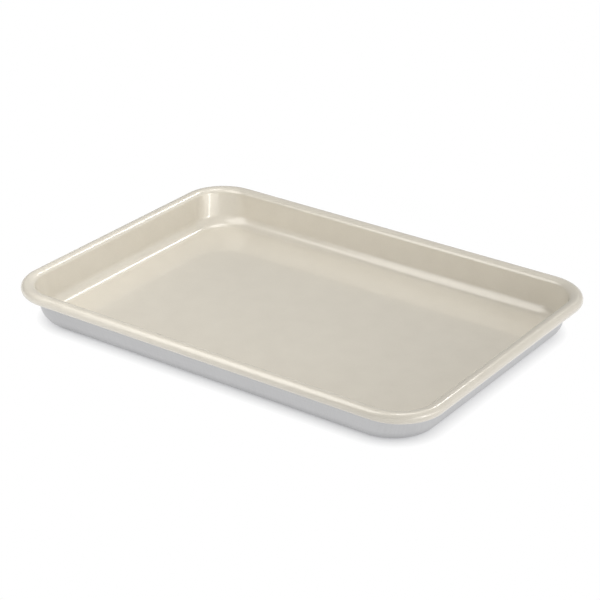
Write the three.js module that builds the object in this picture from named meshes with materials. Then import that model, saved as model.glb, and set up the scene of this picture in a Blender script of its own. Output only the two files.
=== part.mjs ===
// Quarter sheet pan: a drawn aluminium tray whose edge is rolled round a steel wire, with a non-stick coating
// inside.
// Millimetres, +Z up. The origin is on the table, under the middle of the pan; X runs along the long side.
import * as THREE from 'three';

// Sizes of the pan
const rimLength = 330; // over the rolled rim, long side
const rimWidth = 241; // over the rolled rim, short side
const panHeight = 27.5; // table to the top of the rim
const rimCornerRadius = 33.3; // corner of the rim, seen from above
const floorInset = 20; // outside of the rim to the edge of the flat floor
const floorCornerRadius = 24; // corner of the flat floor, seen from above
const floorFilletRadius = 9; // inside bend between floor and wall
const sheetThickness = 1;
const coatThickness = 0.15;

// Sizes of the rolled rim
const wireDiameter = 4.5;
const wireClearance = 0.3; // wire to the sheet that is rolled round it
const wireEndGap = 0.6; // between the two ends of the wire
const crownRadius = 9; // gentle slope from the top of the bead in towards the wall
const crownAngle = 26; // degrees that this slope turns through
const shoulderRadius = 2.8; // bend from the slope down into the wall
const curlAngle = 270; // degrees that the edge is rolled round the wire, from the top of the bead

// Fineness of the curves
const cornerSteps = 8;
const filletSteps = 5;
const shoulderSteps = 3;
const crownSteps = 3;
const rollSteps = 12;
const wireSides = 12;

// The bead, in the cross-section of a wall: distance in from the outside of the rim, and height above the table
const rollOuterRadius = wireDiameter / 2 + wireClearance + sheetThickness;
const beadRadius = rollOuterRadius + coatThickness;
const bead = new THREE.Vector2(beadRadius, panHeight - beadRadius);
const filletCentre = new THREE.Vector2(floorInset, sheetThickness + floorFilletRadius);

// The crown carries on from the top of the bead, and the shoulder from the crown, without a kink
const straightUp = Math.PI / 2;
const crownEnd = straightUp - THREE.MathUtils.degToRad(crownAngle);
const rollEnd = straightUp + THREE.MathUtils.degToRad(curlAngle);
const crownCentre = new THREE.Vector2(bead.x, bead.y + rollOuterRadius - crownRadius);
const towardsShoulder = new THREE.Vector2(Math.cos(crownEnd), Math.sin(crownEnd));
const shoulderCentre = crownCentre.clone().addScaledVector(towardsShoulder, crownRadius - shoulderRadius);

// The wall is the straight line that touches the shoulder and the fillet, and wallLean is how far it leans
// outwards.
const acrossWall = new THREE.Vector2().subVectors(filletCentre, shoulderCentre);
const wallLean = Math.acos((shoulderRadius + floorFilletRadius) / acrossWall.length())
  - Math.atan2(-acrossWall.y, acrossWall.x);

// The floor's corner is rounder than one at an even distance from the rim, so the wall leans out more in the
// corners: going down from the crest of the rim, the corner radius grows by this share of the drop.
const wallHeight = bead.y + rollOuterRadius - sheetThickness;
const cornerFlare = (floorCornerRadius + floorInset - rimCornerRadius) / wallHeight;

// Points of an arc of the cross-section, from one angle to another.
function arcPoints(centre, radius, fromAngle, toAngle, steps) {
  const clockwise = toAngle < fromAngle;
  return new THREE.ArcCurve(centre.x, centre.y, radius, fromAngle, toAngle, clockwise).getPoints(steps);
}

// Cross-section of one face of the sheet, from the edge of the floor up the wall, over the rim and round the bead.
// The depth is measured through the sheet from its coated face, so the bare face is one sheet thickness deep.
// Each place is an inset from the rim's outline, a height, and the radius of the corners there.
function faceSection(depth) {
  const straightDown = 1.5 * Math.PI;
  const fillet = arcPoints(filletCentre, floorFilletRadius + depth, straightDown, Math.PI + wallLean, filletSteps);
  const shoulder = arcPoints(shoulderCentre, shoulderRadius - depth, wallLean, crownEnd, shoulderSteps);
  const crown = arcPoints(crownCentre, crownRadius - depth, crownEnd, straightUp, crownSteps);
  const roll = arcPoints(bead, rollOuterRadius - depth, straightUp, rollEnd, rollSteps);
  const inside = [...fillet, ...shoulder, ...crown.slice(1)];
  const crest = crown.at(-1).y;
  const place = ({ x: inset, y: height }, drop) => ({
    inset,
    height,
    cornerRadius: rimCornerRadius - inset + cornerFlare * drop,
  });
  return [
    ...inside.map((point) => place(point, crest - point.y)),
    ...roll.slice(1).map((point) => place(point, 0)),
  ];
}

// The four corners of the rim's outline drawn in by an inset, anticlockwise from the back left one.
function cornerArcs(inset, radius) {
  const centreX = rimLength / 2 - inset - radius;
  const centreY = rimWidth / 2 - inset - radius;
  const signs = [[-1, 1], [-1, -1], [1, -1], [1, 1]];
  return signs.map(([signX, signY], corner) => {
    const start = (corner + 1) * Math.PI / 2;
    return new THREE.ArcCurve(signX * centreX, signY * centreY, radius, start, start + Math.PI / 2, false);
  });
}

// One ring of points round the pan, for a place in the cross-section.
function ringRoundPan({ inset, height, cornerRadius }) {
  const outline = cornerArcs(inset, cornerRadius).flatMap((arc) => arc.getPoints(cornerSteps));
  return outline.map((point) => new THREE.Vector3(point.x, point.y, height));
}

// A closed solid through rings that all have the same number of points. Each end is closed by its own flat ring.
function solidThroughRings(rings) {
  const count = rings[0].length;
  const index = [];
  for (let ring = 0; ring + 1 < rings.length; ring += 1) {
    for (let point = 0; point < count; point += 1) {
      const next = (point + 1) % count;
      const [a, b] = [ring * count + point, ring * count + next];
      const [c, d] = [b + count, a + count];
      index.push(a, c, b, a, d, c);
    }
  }
  const lastRing = (rings.length - 1) * count;
  for (let point = 1; point + 1 < count; point += 1) {
    index.push(0, point, point + 1);
    index.push(lastRing, lastRing + point + 1, lastRing + point);
  }
  const geometry = new THREE.BufferGeometry().setFromPoints(rings.flat());
  geometry.setIndex(index);
  geometry.computeVertexNormals();
  return geometry;
}

// A skin that covers the floor, climbs the walls and goes round the bead.
function skinBetween(innerDepth, outerDepth) {
  const section = [...faceSection(innerDepth), ...faceSection(outerDepth).reverse()];
  return solidThroughRings(section.map(ringRoundPan));
}

// The wire lies in the middle of the bead, and its ends meet halfway along the back.
function wireSolid() {
  const radius = wireDiameter / 2;
  const backY = rimWidth / 2 - bead.x;
  const alongBack = new THREE.Vector2(-1, 0);
  const places = [{ point: new THREE.Vector2(-wireEndGap / 2, backY), along: alongBack }];
  for (const arc of cornerArcs(bead.x, rimCornerRadius - bead.x)) {
    for (let step = 0; step <= cornerSteps; step += 1) {
      const share = step / cornerSteps;
      places.push({ point: arc.getPoint(share), along: arc.getTangent(share) });
    }
  }
  places.push({ point: new THREE.Vector2(wireEndGap / 2, backY), along: alongBack });
  const rings = places.map(({ point, along }) => {
    const circle = new THREE.ArcCurve(0, 0, radius, 0, 2 * Math.PI, false).getPoints(wireSides).slice(1);
    return circle.map(({ x: outward, y: upward }) => new THREE.Vector3(
      point.x + outward * along.y,
      point.y - outward * along.x,
      bead.y + upward,
    ));
  });
  return solidThroughRings(rings);
}

const bareAluminium = new THREE.MeshStandardMaterial({ color: '#b9babc', metalness: 1, roughness: 0.45 });
const galvanisedSteel = new THREE.MeshStandardMaterial({ color: '#a4a8ab', metalness: 1, roughness: 0.5 });
const champagneCoat = new THREE.MeshStandardMaterial({ color: '#cfc8b6', metalness: 0.4, roughness: 0.3 });

const panBody = new THREE.Mesh(skinBetween(0, sheetThickness), bareAluminium);
panBody.name = 'pan_body';

const rimWire = new THREE.Mesh(wireSolid(), galvanisedSteel);
rimWire.name = 'rim_wire';

const nonstickCoating = new THREE.Mesh(skinBetween(-coatThickness, 0), champagneCoat);
nonstickCoating.name = 'nonstick_coating';

const sheetPan = new THREE.Group();
sheetPan.name = 'quarter_sheet_pan';
sheetPan.add(panBody, rimWire, nonstickCoating);

export default sheetPan;
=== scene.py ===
import math

import bpy
from mathutils import Matrix, Vector


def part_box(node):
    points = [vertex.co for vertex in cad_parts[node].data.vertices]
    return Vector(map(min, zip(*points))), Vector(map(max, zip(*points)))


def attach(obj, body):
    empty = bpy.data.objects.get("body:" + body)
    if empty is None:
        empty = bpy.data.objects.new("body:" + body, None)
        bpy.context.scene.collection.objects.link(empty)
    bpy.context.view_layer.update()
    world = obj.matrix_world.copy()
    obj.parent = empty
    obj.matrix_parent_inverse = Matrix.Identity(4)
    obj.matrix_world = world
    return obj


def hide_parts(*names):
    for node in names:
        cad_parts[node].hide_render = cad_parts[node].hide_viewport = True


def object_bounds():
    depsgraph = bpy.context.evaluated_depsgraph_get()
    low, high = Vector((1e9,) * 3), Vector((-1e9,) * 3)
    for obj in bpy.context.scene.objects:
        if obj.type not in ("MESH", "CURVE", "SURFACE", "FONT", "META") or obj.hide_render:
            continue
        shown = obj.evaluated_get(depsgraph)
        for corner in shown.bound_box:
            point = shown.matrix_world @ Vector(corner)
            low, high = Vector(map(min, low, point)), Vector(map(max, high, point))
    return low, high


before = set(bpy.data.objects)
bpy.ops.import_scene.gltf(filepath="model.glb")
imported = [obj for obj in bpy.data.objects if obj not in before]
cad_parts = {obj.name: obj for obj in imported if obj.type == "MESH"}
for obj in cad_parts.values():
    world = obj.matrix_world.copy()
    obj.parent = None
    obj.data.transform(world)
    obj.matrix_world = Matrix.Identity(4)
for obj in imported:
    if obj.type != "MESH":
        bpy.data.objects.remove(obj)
cad_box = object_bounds()

# Pan body: one blank of aluminium sheet, drawn into a shallow tray with leaning walls and rounded corners.
# Its edge is rolled outwards and down into a bead. Outside and underneath it stays bare rolled metal.
rim_length, rim_width, pan_height = cad_box[1] - cad_box[0]
sheet_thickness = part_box("nonstick_coating")[0].z
coat_thickness = pan_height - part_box("pan_body")[1].z
wire_low, wire_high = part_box("rim_wire")
bead_height = (wire_low.z + wire_high.z) / 2
bead_radius = pan_height - bead_height
rim_corner_radius = 0.0333
floor_inset = 0.020  # outside of the rim to the edge of the flat floor
floor_corner_radius = 0.024
floor_margin = 0.006  # flat strip along the floor's edge, between the floor and the shading of the fillet
fillet_radius = 0.009  # inside bend between floor and wall
crown_radius = 0.009  # gentle slope from the top of the bead in towards the wall
crown_angle = math.radians(26)
shoulder_radius = 0.0028  # bend from that slope down into the wall
curl_angle = math.radians(270)  # turn of the edge round the wire, from the top of the bead
corner_steps = 32
fillet_steps = 16
shoulder_steps = 12
crown_steps = 8
roll_steps = 36
sharp_edge = math.radians(40)
merge_distance = 0.000001

# Centres of the bends on the coated face of the sheet: reach out from the floor's edge, and height.
# The wall is the straight line that touches the fillet and the shoulder.
roll_radius = bead_radius - coat_thickness
fillet_centre = Vector((0.0, sheet_thickness + fillet_radius))
bead_centre = Vector((floor_inset - bead_radius, bead_height))
crown_centre = bead_centre - Vector((0.0, crown_radius - roll_radius))
to_shoulder = Vector((-math.sin(crown_angle), math.cos(crown_angle)))
shoulder_centre = crown_centre + (crown_radius - shoulder_radius) * to_shoulder
crest_height = bead_height + roll_radius
across_wall = shoulder_centre - fillet_centre
wall_lean = math.acos((shoulder_radius + fillet_radius) / across_wall.length) - math.atan2(*across_wall.yx)

# The floor's corner is rounder than one at an even distance from the rim would be, so the wall leans out more
# there. Going up from the floor to the crest of the rim, the corner radius shrinks by this share of the rise.
corner_flare = (floor_corner_radius + floor_inset - rim_corner_radius) / (crest_height - sheet_thickness)

tray_sizes = {
    "Floor Length": rim_length - 2 * floor_inset,
    "Floor Width": rim_width - 2 * floor_inset,
    "Floor Corner Radius": floor_corner_radius,
    "Floor Margin": floor_margin,
    "Corner Flare": corner_flare,
    "Fillet Height": fillet_centre.y,
    "Fillet Radius": fillet_radius,
    "Wall Lean": wall_lean,
    "Shoulder Reach": shoulder_centre.x,
    "Shoulder Height": shoulder_centre.y,
    "Shoulder Radius": shoulder_radius,
    "Crown Height": crown_centre.y,
    "Crown Radius": crown_radius,
    "Crown Angle": crown_angle,
    "Bead Reach": bead_centre.x,
    "Bead Height": bead_centre.y,
    "Roll Radius": roll_radius,
    "Curl Angle": curl_angle,
}


def add_node(tree, kind, inputs=None, **settings):
    """Adds a node with its settings. An input gets a value, a link, or a list of links joined in order."""
    node = tree.nodes.new(kind)
    for name, value in settings.items():
        setattr(node, name, value)
    for name, value in (inputs or {}).items():
        for source in reversed(value) if isinstance(value, list) else [value]:
            if isinstance(source, bpy.types.NodeSocket):
                tree.links.new(source, node.inputs[name])
            else:
                node.inputs[name].default_value = source
    return node


def number(tree, operation, first, second=0.0):
    """Adds a sum on two numbers."""
    return add_node(tree, "ShaderNodeMath", {0: first, 1: second}, operation=operation).outputs["Value"]


def vector(tree, x=0.0, y=0.0, z=0.0):
    """Adds a vector made of three numbers."""
    return add_node(tree, "ShaderNodeCombineXYZ", {"X": x, "Y": y, "Z": z}).outputs["Vector"]


def vector_maths(tree, operation, *vectors, scale=None):
    """Adds a sum on vectors, or scales one. Lengths and dot products come out as numbers."""
    inputs = dict(enumerate(vectors))
    if scale is not None:
        inputs["Scale"] = scale
    outputs = add_node(tree, "ShaderNodeVectorMath", inputs, operation=operation).outputs
    return outputs["Value" if operation in ("LENGTH", "DOT_PRODUCT") else "Vector"]


def start_shape_tree(name, sizes):
    """Starts a geometry tree that has a number input for each size and an input for the material."""
    tree = bpy.data.node_groups.new(name, "GeometryNodeTree")
    for size in sizes:
        tree.interface.new_socket(size, in_out="INPUT", socket_type="NodeSocketFloat")
    tree.interface.new_socket("Material", in_out="INPUT", socket_type="NodeSocketMaterial")
    tree.interface.new_socket("Shape", in_out="OUTPUT", socket_type="NodeSocketGeometry")
    return tree, add_node(tree, "NodeGroupInput").outputs


def finish_shape_tree(tree, shape, material):
    """Ends a geometry tree: smooth faces with sharp edges kept, real geometry, and the material."""
    angle = add_node(tree, "GeometryNodeInputMeshEdgeAngle").outputs["Unsigned Angle"]
    is_sharp = number(tree, "GREATER_THAN", angle, sharp_edge)
    smooth = add_node(tree, "GeometryNodeSetShadeSmooth", {"Geometry": shape}, domain="FACE")
    edged = add_node(
        tree,
        "GeometryNodeSetShadeSmooth",
        {"Geometry": smooth.outputs["Geometry"], "Selection": is_sharp, "Shade Smooth": False},
        domain="EDGE",
    )
    real = add_node(
        tree, "GeometryNodeRealizeInstances", {"Geometry": edged.outputs["Geometry"]}
    ).outputs["Geometry"]
    painted = add_node(tree, "GeometryNodeSetMaterial", {"Geometry": real, "Material": material})
    add_node(tree, "NodeGroupOutput", {"Shape": painted.outputs["Geometry"]})


def make_piece(name, tree, sizes, material):
    """Runs a geometry tree with its sizes and keeps the result as a plain mesh of that name."""
    inputs = {**sizes, "Material": material}
    maker = bpy.data.objects.new(name + "_maker", bpy.data.meshes.new(name + "_start"))
    bpy.context.scene.collection.objects.link(maker)
    modifier = maker.modifiers.new(tree.name, "NODES")
    modifier.node_group = tree
    for socket in tree.interface.items_tree:
        if socket.in_out == "INPUT":
            modifier[socket.identifier] = inputs[socket.name]
    graph = bpy.context.evaluated_depsgraph_get()
    mesh = bpy.data.meshes.new_from_object(maker.evaluated_get(graph), depsgraph=graph)
    bpy.data.objects.remove(maker)
    mesh.name = name
    mesh.materials.clear()  # joining leaves an empty slot in front
    mesh.materials.append(material)
    piece = bpy.data.objects.new(name, mesh)
    bpy.context.scene.collection.objects.link(piece)
    return piece


def rounded_outline(tree, length, width, radius):
    """Adds the outline of a rectangle with round corners, anticlockwise, with the back side first."""
    square = add_node(tree, "GeometryNodeCurvePrimitiveQuadrilateral", {"Width": length, "Height": width})
    rounded = add_node(
        tree,
        "GeometryNodeFilletCurve",
        {"Curve": square.outputs["Curve"], "Count": corner_steps, "Radius": radius},
        mode="POLY",
    )
    return rounded.outputs["Curve"]


def arc_points(tree, steps, centre, radius, first_angle, last_angle):
    """Adds the points of an arc round a centre."""
    sweep = number(tree, "SUBTRACT", last_angle, first_angle)
    arc = add_node(
        tree,
        "GeometryNodeCurveArc",
        {"Resolution": steps + 1, "Radius": radius, "Start Angle": first_angle, "Sweep Angle": sweep},
        mode="RADIUS",
    ).outputs["Curve"]
    points = add_node(tree, "GeometryNodeCurveToPoints", {"Curve": arc}, mode="EVALUATED").outputs["Points"]
    moved = add_node(tree, "GeometryNodeTransform", {"Geometry": points, "Translation": centre})
    return moved.outputs["Geometry"]


def keep_fields(tree, geometry, fields):
    """Captures fields on the points of a curve, so that the mesh swept from it can read them."""
    capture = add_node(tree, "GeometryNodeCaptureAttribute", {"Geometry": geometry})
    for name, field in fields.items():
        capture.capture_items.new("VECTOR" if field.type == "VECTOR" else "FLOAT", name)
        tree.links.new(field, capture.inputs[name])
    return capture.outputs


def store_field(tree, geometry, name, field):
    """Writes a named field on the points of a geometry, for other nodes or a material to read."""
    return add_node(
        tree,
        "GeometryNodeStoreNamedAttribute",
        {"Geometry": geometry, "Name": name, "Value": field},
        data_type="FLOAT_VECTOR" if field.type == "VECTOR" else "FLOAT",
    ).outputs["Geometry"]


# The skin of the tray is a section that is swept round the floor, with the floor filled in on both faces.
# The section runs out along one face from the floor's margin to the cut edge, and back along the other face.
skin_tree, skin = start_shape_tree("Tray skin", [*tray_sizes, "Face Depth", "Back Depth"])
straight_down = -math.pi / 2
straight_up = math.pi / 2
wall_foot = number(skin_tree, "MULTIPLY", skin["Wall Lean"], -1.0)
wall_top = number(skin_tree, "SUBTRACT", math.pi, skin["Wall Lean"])
crown_end = number(skin_tree, "ADD", straight_up, skin["Crown Angle"])
curl_end = number(skin_tree, "SUBTRACT", straight_up, skin["Curl Angle"])


def section_place(reach, height):
    """Adds a place in the section, from its reach out from the floor's edge and its height."""
    return vector(skin_tree, number(skin_tree, "ADD", skin["Floor Margin"], reach), height)


section_height = add_node(
    skin_tree,
    "ShaderNodeSeparateXYZ",
    {"Vector": add_node(skin_tree, "GeometryNodeInputPosition").outputs["Position"]},
).outputs["Y"]
coated_crest = number(skin_tree, "ADD", skin["Bead Height"], skin["Roll Radius"])

# Each bend: steps, centre, radius, how the radius grows with depth, and the angles at its two ends
bends = [
    (
        fillet_steps,
        section_place(0.0, skin["Fillet Height"]),
        "Fillet Radius",
        "ADD",
        straight_down,
        wall_foot,
    ),
    (
        shoulder_steps,
        section_place(skin["Shoulder Reach"], skin["Shoulder Height"]),
        "Shoulder Radius",
        "SUBTRACT",
        wall_top,
        crown_end,
    ),
    (
        crown_steps,
        section_place(skin["Bead Reach"], skin["Crown Height"]),
        "Crown Radius",
        "SUBTRACT",
        crown_end,
        straight_up,
    ),
    (
        roll_steps,
        section_place(skin["Bead Reach"], skin["Bead Height"]),
        "Roll Radius",
        "SUBTRACT",
        straight_up,
        curl_end,
    ),
]
section_points = []
floor_levels = []
for depth, goes_out in ((skin["Face Depth"], True), (skin["Back Depth"], False)):
    fillet_at_depth = number(skin_tree, "ADD", skin["Fillet Radius"], depth)
    level = number(skin_tree, "SUBTRACT", skin["Fillet Height"], fillet_at_depth)
    margin = add_node(skin_tree, "GeometryNodePoints", {"Count": 1, "Position": vector(skin_tree, y=level)})
    run = [margin.outputs["Points"]]
    crest = number(skin_tree, "SUBTRACT", coated_crest, depth)
    for steps, centre, radius, change, first, last in bends:
        at_depth = number(skin_tree, change, skin[radius], depth)
        ends = (first, last) if goes_out else (last, first)
        height = crest if radius == "Roll Radius" else section_height
        bend = arc_points(skin_tree, steps, centre, at_depth, *ends)
        run.append(store_field(skin_tree, bend, "rise", number(skin_tree, "SUBTRACT", height, level)))
    section_points += run if goes_out else run[::-1]
    floor_levels.append(level)

joined_points = add_node(skin_tree, "GeometryNodeJoinGeometry", {"Geometry": section_points})
section = add_node(skin_tree, "GeometryNodePointsToCurves", {"Points": joined_points.outputs["Geometry"]})
along_section = add_node(skin_tree, "GeometryNodeSplineParameter").outputs["Length"]
whole_section = add_node(skin_tree, "GeometryNodeSplineLength").outputs["Length"]
from_far_end = number(skin_tree, "SUBTRACT", whole_section, along_section)
section_kept = keep_fields(
    skin_tree,
    section.outputs["Curves"],
    {"reach": number(skin_tree, "MINIMUM", along_section, from_far_end)},
)
section_upright = add_node(
    skin_tree,
    "GeometryNodeTransform",
    {"Geometry": section_kept["Geometry"], "Scale": (1, -1, 1)},
).outputs["Geometry"]

twice_margin = number(skin_tree, "MULTIPLY", skin["Floor Margin"], 2.0)
floor_outline = rounded_outline(
    skin_tree,
    number(skin_tree, "SUBTRACT", skin["Floor Length"], twice_margin),
    number(skin_tree, "SUBTRACT", skin["Floor Width"], twice_margin),
    number(skin_tree, "SUBTRACT", skin["Floor Corner Radius"], skin["Floor Margin"]),
)
place = add_node(skin_tree, "GeometryNodeInputPosition").outputs["Position"]
outward = add_node(skin_tree, "GeometryNodeInputNormal").outputs["Normal"]
path_kept = keep_fields(skin_tree, floor_outline, {"edge": place, "outward": outward})
swept = add_node(
    skin_tree,
    "GeometryNodeCurveToMesh",
    {"Curve": path_kept["Geometry"], "Profile Curve": section_upright},
).outputs["Mesh"]

# In the corners the walls are pushed out, the more the higher, so that the rim's corner comes out tighter
rise = add_node(
    skin_tree, "GeometryNodeInputNamedAttribute", {"Name": "rise"}, data_type="FLOAT"
).outputs["Attribute"]
to_corner = vector_maths(skin_tree, "SIGN", path_kept["edge"])
past_outward = vector_maths(skin_tree, "SUBTRACT", to_corner, path_kept["outward"])
flare = number(skin_tree, "MULTIPLY", rise, skin["Corner Flare"])
push = vector_maths(skin_tree, "SCALE", past_outward, scale=flare)
flared = add_node(
    skin_tree, "GeometryNodeSetPosition", {"Geometry": swept, "Offset": push}
).outputs["Geometry"]

# Each point also knows its place on the flat blank. Its drawn place runs out from the floor along X,
# and holds the place on the floor's outline that it was drawn out from.
blank_place = vector_maths(
    skin_tree, "MULTIPLY_ADD", path_kept["outward"], section_kept["reach"], path_kept["edge"]
)


def drawn_out(reach, edge):
    """Adds a drawn place from a reach and a place on the floor's outline."""
    flat = add_node(skin_tree, "ShaderNodeSeparateXYZ", {"Vector": edge}).outputs
    return vector(skin_tree, reach, flat["X"], flat["Y"])


drawn_place = drawn_out(section_kept["reach"], path_kept["edge"])
walls_blank = store_field(skin_tree, flared, "blank_place", blank_place)
walls = store_field(skin_tree, walls_blank, "drawn_place", drawn_place)
skin_meshes = [walls]
filled = add_node(skin_tree, "GeometryNodeFillCurve", {"Curve": floor_outline}, mode="NGONS").outputs["Mesh"]
floor_blank = store_field(skin_tree, filled, "blank_place", place)
floor = store_field(skin_tree, floor_blank, "drawn_place", drawn_out(0.0, place))
for level, faces_up in zip(floor_levels, (True, False)):
    moved = add_node(
        skin_tree,
        "GeometryNodeTransform",
        {"Geometry": floor, "Translation": vector(skin_tree, z=level)},
    ).outputs["Geometry"]
    flipped = add_node(skin_tree, "GeometryNodeFlipFaces", {"Mesh": moved}).outputs["Mesh"]
    skin_meshes.append(moved if faces_up else flipped)

skin_joined = add_node(skin_tree, "GeometryNodeJoinGeometry", {"Geometry": skin_meshes})
skin_closed = add_node(
    skin_tree,
    "GeometryNodeMergeByDistance",
    {"Geometry": skin_joined.outputs["Geometry"], "Distance": merge_distance},
)
finish_shape_tree(skin_tree, skin_closed.outputs["Geometry"], skin["Material"])


def part_way(tree, amount, low, high, start=0.0, end=1.0):
    """Adds a number that goes from low to high while an amount goes from start to end."""
    inputs = {"Value": amount, "From Min": start, "From Max": end, "To Min": low, "To Max": high}
    return add_node(tree, "ShaderNodeMapRange", inputs).outputs["Result"]


def start_effect(name, sizes):
    """Starts a shader group that reads a place and some sizes, and puts out an amount from 0 to 1."""
    group = bpy.data.node_groups.new(name, "ShaderNodeTree")
    group.interface.new_socket("Place", in_out="INPUT", socket_type="NodeSocketVector")
    for size in sizes:
        group.interface.new_socket(size, in_out="INPUT", socket_type="NodeSocketFloat")
    group.interface.new_socket("Amount", in_out="OUTPUT", socket_type="NodeSocketFloat")
    return group, add_node(group, "NodeGroupInput").outputs


def finish_effect(group, place, detail, grain):
    """Ends an effect with noise at a place, spread over the whole range of the amount."""
    darkest, lightest = 0.28, 0.72  # nearly all of the noise lies between these
    noise_inputs = {"Vector": place, "Scale": 1.0, "Detail": detail, "Roughness": grain}
    noise = add_node(group, "ShaderNodeTexNoise", noise_inputs).outputs["Fac"]
    add_node(group, "NodeGroupOutput", {"Amount": part_way(group, noise, 0.0, 1.0, darkest, lightest)})


def add_effect(tree, group, place, sizes):
    """Places an effect in a material, with its own sizes."""
    return add_node(tree, "ShaderNodeGroup", {"Place": place, **sizes}, node_tree=group).outputs["Amount"]


def tint(tree, amount, low, high):
    """Adds a colour that goes from low to high with an amount."""
    ramp = add_node(tree, "ShaderNodeValToRGB", {"Fac": amount})
    for stop, colour in zip(ramp.color_ramp.elements, (low, high)):
        stop.color = (*colour, 1)
    return ramp.outputs["Color"]


def relief(tree, height, depth):
    """Adds the normals of a fine relief of that depth."""
    inputs = {"Strength": 1.0, "Distance": depth, "Height": height}
    return add_node(tree, "ShaderNodeBump", inputs).outputs["Normal"]


def read_place(tree, name):
    """Adds a place that the geometry tree wrote on the mesh."""
    return add_node(tree, "ShaderNodeAttribute", attribute_name=name).outputs["Vector"]


def start_finish(name):
    """Starts a material and gives its nodes and its shader."""
    finish = bpy.data.materials.new(name)
    finish.use_nodes = True
    return finish, finish.node_tree, finish.node_tree.nodes["Principled BSDF"]


def wire_up(tree, shader, inputs):
    """Links what changes over the surface into a shader."""
    for name, source in inputs.items():
        tree.links.new(source, shader.inputs[name])


# Soft clouds, for uneven dullness
clouds, cloud = start_effect("Clouds", ["Size"])
cloud_scale = number(clouds, "DIVIDE", 1.0, cloud["Size"])
cloud_place = vector_maths(clouds, "SCALE", cloud["Place"], scale=cloud_scale)
finish_effect(clouds, cloud_place, detail=3.0, grain=0.55)

# Long streaks along X, for rolled, drawn and die-pulled metal
streaks, streak = start_effect("Streaks", ["Along", "Across"])
streak_size = vector(streaks, streak["Along"], streak["Across"], streak["Across"])
streak_place = vector_maths(streaks, "DIVIDE", streak["Place"], streak_size)
finish_effect(streaks, streak_place, detail=4.0, grain=0.6)

# The mill's rolling grain runs along the blank. The press adds rub marks up the walls, and handling dulls it
# in clouds.
aluminium, sheet_nodes, sheet_shader = start_finish("bare_aluminium_sheet")
blank = read_place(sheet_nodes, "blank_place")
drawn = read_place(sheet_nodes, "drawn_place")
rolling_grain = add_effect(sheet_nodes, streaks, blank, {"Along": 0.03, "Across": 0.0004})
rub_marks = add_effect(sheet_nodes, streaks, drawn, {"Along": 0.012, "Across": 0.0009})
dullness = add_effect(sheet_nodes, clouds, blank, {"Size": 0.03})
wall_start, wall_end = 0.012, 0.020  # reach along the sheet, from the floor's margin
grain_depth = 0.000004
up_wall = add_node(sheet_nodes, "ShaderNodeSeparateXYZ", {"Vector": drawn}).outputs["X"]
on_wall = part_way(sheet_nodes, up_wall, 0.0, 1.0, wall_start, wall_end)
wall_rub = number(sheet_nodes, "MULTIPLY", rub_marks, on_wall)
grain_and_rub = number(sheet_nodes, "ADD", rolling_grain, wall_rub)
sheet_tone = number(sheet_nodes, "MULTIPLY", number(sheet_nodes, "ADD", grain_and_rub, dullness), 1 / 3)
sheet_shader.inputs["Metallic"].default_value = 1.0
wire_up(
    sheet_nodes,
    sheet_shader,
    {
        "Base Color": tint(sheet_nodes, sheet_tone, (0.50, 0.50, 0.505), (0.61, 0.61, 0.615)),
        "Roughness": part_way(sheet_nodes, dullness, 0.37, 0.47),
        "Normal": relief(sheet_nodes, grain_and_rub, grain_depth),
    },
)

sheet_depths = {"Face Depth": 0.0, "Back Depth": sheet_thickness}
pan_sheet = make_piece("pan_body_sheet", skin_tree, {**tray_sizes, **sheet_depths}, aluminium)
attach(pan_sheet, "root")
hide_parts("pan_body")

# Rim wire: a galvanised steel wire bent into a rounded rectangle and trapped in the bead, where it stiffens
# the rim. Its two ends butt together halfway along the back.
wire_diameter = wire_high.z - wire_low.z
wire_end_gap = 0.0006
wire_sides = 32
wire_sizes = {
    "Length": rim_length - 2 * bead_radius,
    "Width": rim_width - 2 * bead_radius,
    "Corner Radius": rim_corner_radius - bead_radius,
    "Wire Diameter": wire_diameter,
    "End Gap": wire_end_gap,
    "Height": bead_height,
}
wire_tree, wire = start_shape_tree("Bent wire", wire_sizes)
wire_outline = rounded_outline(wire_tree, wire["Length"], wire["Width"], wire["Corner Radius"])
half_length = number(wire_tree, "DIVIDE", wire["Length"], 2.0)
corner_excess = number(wire_tree, "MULTIPLY", wire["Corner Radius"], math.pi / 2 - 1)
half_gap = number(wire_tree, "DIVIDE", wire["End Gap"], 2.0)
middle_of_back = number(wire_tree, "ADD", half_length, corner_excess)
trim_start, trim_end = 4, 5  # the trim's inputs for lengths, which share their names with those for shares
wire_line = add_node(
    wire_tree,
    "GeometryNodeTrimCurve",
    {
        "Curve": wire_outline,
        trim_start: number(wire_tree, "ADD", middle_of_back, half_gap),
        trim_end: number(wire_tree, "SUBTRACT", middle_of_back, half_gap),
    },
    mode="LENGTH",
).outputs["Curve"]
wire_round = add_node(
    wire_tree,
    "GeometryNodeCurvePrimitiveCircle",
    {"Resolution": wire_sides, "Radius": number(wire_tree, "DIVIDE", wire["Wire Diameter"], 2.0)},
).outputs["Curve"]
along_wire = add_node(wire_tree, "GeometryNodeSplineParameter").outputs["Length"]
round_wire = add_node(wire_tree, "GeometryNodeInputPosition").outputs["Position"]
line_kept = keep_fields(wire_tree, wire_line, {"along": along_wire})
round_kept = keep_fields(wire_tree, wire_round, {"round": round_wire})
wire_swept = add_node(
    wire_tree,
    "GeometryNodeCurveToMesh",
    {"Curve": line_kept["Geometry"], "Profile Curve": round_kept["Geometry"], "Fill Caps": True},
).outputs["Mesh"]
wire_lifted = add_node(
    wire_tree,
    "GeometryNodeTransform",
    {"Geometry": wire_swept, "Translation": vector(wire_tree, z=wire["Height"])},
).outputs["Geometry"]
round_flat = add_node(wire_tree, "ShaderNodeSeparateXYZ", {"Vector": round_kept["round"]}).outputs
pulled_place = vector(wire_tree, line_kept["along"], round_flat["X"], round_flat["Y"])
wire_placed = store_field(wire_tree, wire_lifted, "pulled_place", pulled_place)
finish_shape_tree(wire_tree, wire_placed, wire["Material"])


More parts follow.
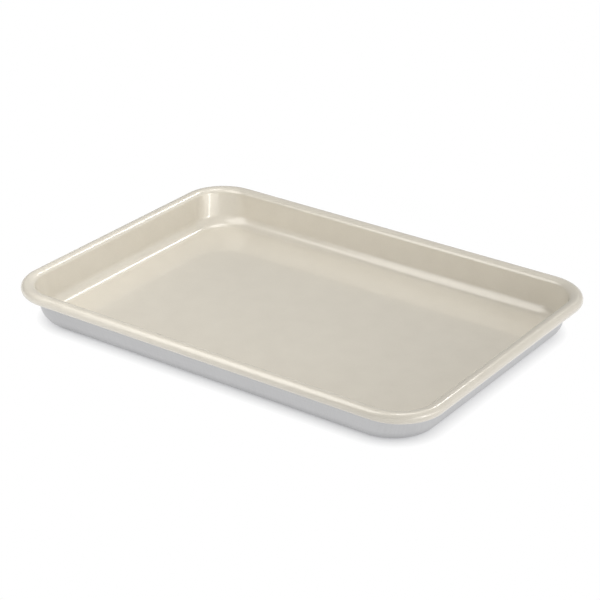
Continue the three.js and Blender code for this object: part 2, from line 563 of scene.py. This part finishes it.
def cell_tone(tree, place, size):
    """Adds a tone that is even inside each small cell of that size and differs from one cell to the next."""
    cells = add_node(tree, "ShaderNodeTexVoronoi", {"Vector": place, "Scale": 1 / size}).outputs["Color"]
    return add_node(tree, "ShaderNodeSeparateColor", {"Color": cells}).outputs["Red"]


# Zinc that crystallised in spangles over the lines of the die that the wire was pulled through
spangle_size = 0.003
zinc_depth = 0.000006
zinc, wire_nodes, wire_shader = start_finish("galvanised_wire")
pulled = read_place(wire_nodes, "pulled_place")
die_lines = add_effect(wire_nodes, streaks, pulled, {"Along": 0.02, "Across": 0.0003})
white_rust = add_effect(wire_nodes, clouds, pulled, {"Size": 0.006})
spangle = cell_tone(wire_nodes, pulled, spangle_size)
wire_tone = number(wire_nodes, "MULTIPLY", number(wire_nodes, "ADD", spangle, die_lines), 0.5)
wire_shader.inputs["Metallic"].default_value = 1.0
wire_up(
    wire_nodes,
    wire_shader,
    {
        "Base Color": tint(wire_nodes, wire_tone, (0.40, 0.41, 0.43), (0.58, 0.59, 0.60)),
        "Roughness": part_way(wire_nodes, white_rust, 0.35, 0.55),
        "Normal": relief(wire_nodes, wire_tone, zinc_depth),
    },
)

bent_wire = make_piece("rim_wire_bent", wire_tree, wire_sizes, zinc)
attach(bent_wire, "root")
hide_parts("rim_wire")

# Non-stick coating: a film with fine metal flake under a clear gloss, the colour of champagne, baked onto the
# sheet. It covers the inside of the tray, and goes on over the rim and round the bead to the cut edge of
# the curl.
flake_size = 0.0004
peel_depth = 0.000012
champagne, film_nodes, film_shader = start_finish("champagne_film")
film_place = add_node(film_nodes, "ShaderNodeTexCoord").outputs["Object"]
mottling = add_effect(film_nodes, clouds, film_place, {"Size": 0.016})
peel = add_effect(film_nodes, clouds, film_place, {"Size": 0.0022})
flake = cell_tone(film_nodes, film_place, flake_size)
film_tone = number(film_nodes, "MULTIPLY", number(film_nodes, "ADD", mottling, flake), 0.5)
film_shader.inputs["Specular IOR Level"].default_value = 0.3
film_shader.inputs["Coat Weight"].default_value = 1.0
film_shader.inputs["Coat Roughness"].default_value = 0.09
wire_up(
    film_nodes,
    film_shader,
    {
        "Base Color": tint(film_nodes, film_tone, (0.67, 0.623, 0.532), (0.72, 0.673, 0.578)),
        "Metallic": part_way(film_nodes, flake, 0.08, 0.22),
        "Roughness": part_way(film_nodes, mottling, 0.37, 0.43),
        "Normal": relief(film_nodes, peel, peel_depth),
    },
)

film_depths = {"Face Depth": -coat_thickness, "Back Depth": 0.0}
film = make_piece("nonstick_film", skin_tree, {**tray_sizes, **film_depths}, champagne)
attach(film, "root")
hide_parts("nonstick_coating")

# Stage: a pale floor that shows as white and keeps the pan's soft shadow, in a white room that is brighter on
# its right. Two soft boxes stand close to the pan at its front left. The others stand further off: high up,
# behind it and on the right. The camera stands where the photograph's did.
floor_half_side = 9.0
floor_mesh = bpy.data.meshes.new("stage_floor")
floor_mesh.from_pydata(
    [(floor_half_side * x, floor_half_side * y, 0.0) for x, y in ((-1, -1), (1, -1), (1, 1), (-1, 1))],
    [],
    [(0, 1, 2, 3)],
)
stage_floor = bpy.data.objects.new("stage_floor", floor_mesh)
bpy.context.scene.collection.objects.link(stage_floor)

floor_white = bpy.data.materials.new("stage_white")
floor_white.use_nodes = True
floor_nodes = floor_white.node_tree
floor_nodes.nodes.clear()
pale = (0.86, 0.87, 0.90, 1)
white = (1, 1, 1, 1)
floor_diffuse = add_node(floor_nodes, "ShaderNodeBsdfDiffuse", {"Color": pale}).outputs["BSDF"]
floor_glow = add_node(
    floor_nodes, "ShaderNodeEmission", {"Color": white, "Strength": 1.0}
).outputs["Emission"]

# The shadow is kept close to the pan: the floor fades to plain white over this distance from the pan's base
shadow_reach = 0.015
shadow_lift = 0.15  # how white the floor is right at the base
base_half = Vector((rim_length / 2 - floor_inset, rim_width / 2 - floor_inset, 1.0))
base_centres = base_half - Vector((floor_corner_radius, floor_corner_radius, 0.0))
floor_place = add_node(floor_nodes, "ShaderNodeTexCoord").outputs["Object"]
folded = vector_maths(floor_nodes, "ABSOLUTE", floor_place)
past_centres = vector_maths(floor_nodes, "SUBTRACT", folded, base_centres)
from_centres = vector_maths(floor_nodes, "LENGTH", vector_maths(floor_nodes, "MAXIMUM", past_centres))
fade_end = floor_corner_radius + shadow_reach
fade = part_way(floor_nodes, from_centres, shadow_lift, 1.0, floor_corner_radius, fade_end)


def mix_shaders(tree, share, first, second):
    """Adds a mix of two shaders, from the first at a share of 0 to the second at 1."""
    return add_node(tree, "ShaderNodeMixShader", {0: share, 1: first, 2: second}).outputs["Shader"]


def seen_or_mirrored(tree):
    """Adds a switch that is 1 for rays from the camera and for those that mirrors and glass pass on."""
    path = add_node(tree, "ShaderNodeLightPath").outputs
    seen = number(tree, "MAXIMUM", path["Is Camera Ray"], path["Is Glossy Ray"])
    return number(tree, "MAXIMUM", seen, path["Is Transmission Ray"])


seen_floor = mix_shaders(floor_nodes, fade, floor_diffuse, floor_glow)
floor_mix = mix_shaders(floor_nodes, seen_or_mirrored(floor_nodes), floor_diffuse, seen_floor)
add_node(floor_nodes, "ShaderNodeOutputMaterial", {"Surface": floor_mix})
floor_mesh.materials.append(floor_white)

room = bpy.data.worlds.new("soft_room")
room.use_nodes = True
bpy.context.scene.world = room
room_nodes = room.node_tree
room_nodes.nodes.clear()
room_level = 0.495
bright_side = Vector((0.36, 0.06, 0.0))  # towards the room's bright side, and how much brighter it is there
looking = add_node(room_nodes, "ShaderNodeTexCoord").outputs["Generated"]
towards_bright = vector_maths(room_nodes, "DOT_PRODUCT", looking, bright_side)
room_strength = number(room_nodes, "ADD", towards_bright, room_level)
room_light, room_white = (
    add_node(room_nodes, "ShaderNodeBackground", {"Color": white, "Strength": strength}).outputs["Background"]
    for strength in (room_strength, 1.0)
)
is_camera_ray = add_node(room_nodes, "ShaderNodeLightPath").outputs["Is Camera Ray"]
room_mix = mix_shaders(room_nodes, is_camera_ray, room_light, room_white)
add_node(room_nodes, "ShaderNodeOutputWorld", {"Surface": room_mix})


def add_soft_box(name, azimuth, elevation, distance, width, height, power):
    """Adds a soft box that faces the middle of the pan. The azimuth turns anticlockwise from +X."""
    lamp = bpy.data.lights.new(name, "AREA")
    lamp.shape = "RECTANGLE"
    lamp.size = width
    lamp.size_y = height
    lamp.energy = power
    soft_box = bpy.data.objects.new(name, lamp)
    bpy.context.scene.collection.objects.link(soft_box)
    turn, rise = math.radians(azimuth), math.radians(elevation)
    flat = math.cos(rise)
    direction = Vector((flat * math.cos(turn), flat * math.sin(turn), math.sin(rise)))
    soft_box.location = direction * distance
    soft_box.rotation_euler = direction.to_track_quat("Z", "Y").to_euler()


add_soft_box("near_lamp", azimuth=230, elevation=60, distance=0.50, width=0.38, height=0.38, power=1.02)
add_soft_box("top_lamp", azimuth=103, elevation=72, distance=3, width=0.75, height=1.3, power=11.5)
add_soft_box("back_lamp", azimuth=98, elevation=44, distance=3, width=0.45, height=0.46, power=6.5)
add_soft_box("right_window", azimuth=-3, elevation=15, distance=3, width=0.50, height=0.84, power=9)
add_soft_box("right_wall", azimuth=0, elevation=9, distance=3, width=4.0, height=0.8, power=16)
add_soft_box("front_window", azimuth=241, elevation=28, distance=0.56, width=0.24, height=0.28, power=0.42)

# The place and angles come from fitting the rim's outline
camera_place = (0.676737, -0.991774, 0.593156)
camera_turn, camera_tilt, camera_roll = math.radians(34.357), math.radians(64.363), math.radians(0.956)
camera = bpy.data.objects.new("photo_camera", bpy.data.cameras.new("photo_camera"))
bpy.context.scene.collection.objects.link(camera)
camera.data.lens = 117.179
camera.data.sensor_width = 36.0
camera.data.clip_end = 100.0
camera.matrix_world = (
    Matrix.Translation(camera_place)
    @ Matrix.Rotation(camera_turn, 4, "Z")
    @ Matrix.Rotation(camera_tilt, 4, "X")
    @ Matrix.Rotation(camera_roll, 4, "Z")
)
bpy.context.scene.camera = camera
bpy.context.scene.view_settings.view_transform = "Standard"
